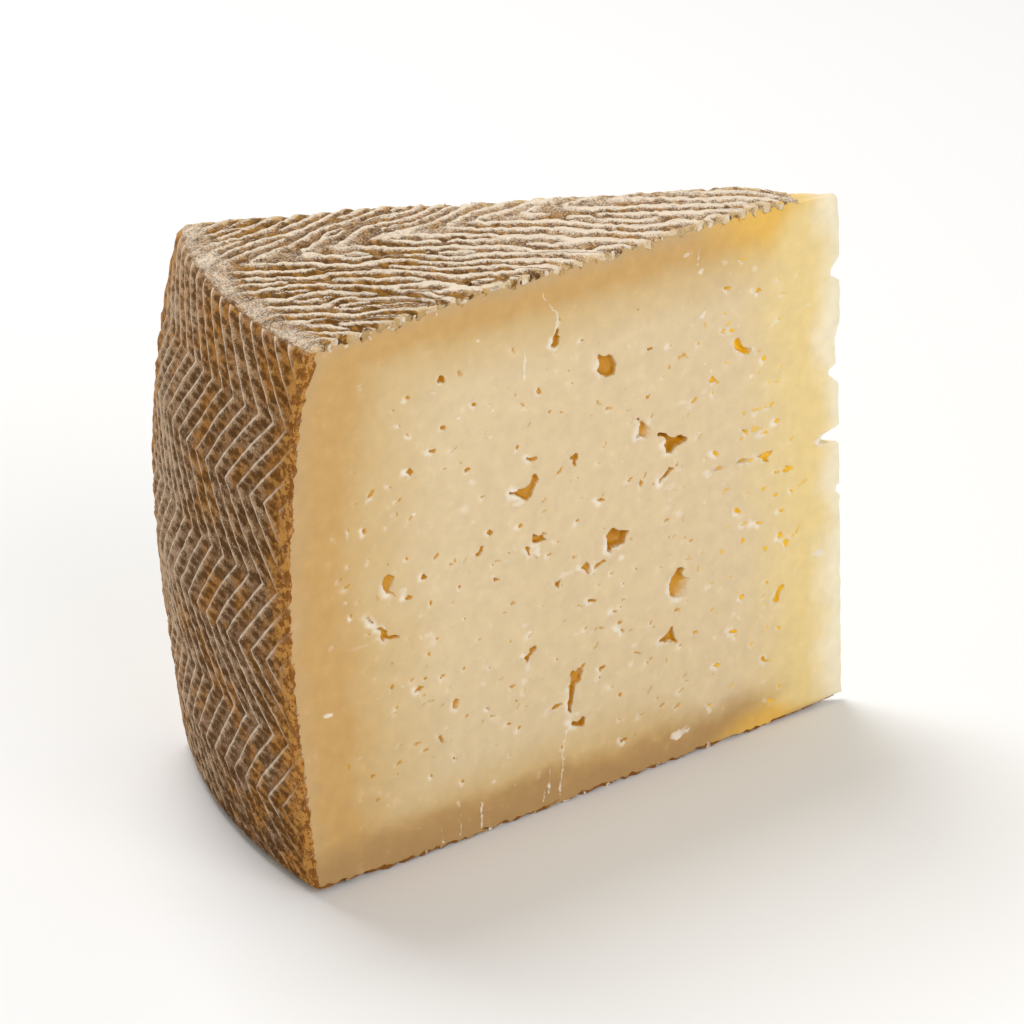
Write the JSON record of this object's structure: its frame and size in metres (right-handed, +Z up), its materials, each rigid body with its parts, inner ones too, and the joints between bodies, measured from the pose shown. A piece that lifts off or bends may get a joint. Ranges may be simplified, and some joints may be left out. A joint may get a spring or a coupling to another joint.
{
  "type": "manchego cheese wedge",
  "caption": "Wedge of aged sheep's milk cheese cut from a drum-shaped wheel, with a plaited mould print in its brown rind and small openings in the pale paste.",
  "frame": {"origin": "on the surface that the wedge rests on, under the middle of its box", "axes": "+X from the rind to the tip, +Y towards the back cut, +Z up"},
  "size_m": [0.109, 0.0562, 0.0892],
  "materials": {
    "paste": "ivory aged cheese paste, slightly waxy, amber beside the rind",
    "rind": "dry brown rind with whitish crests and dark grooves"
  },
  "bodies": {
    "root": {"cheese_wedge": "paste"}
  },
  "joints": []
}
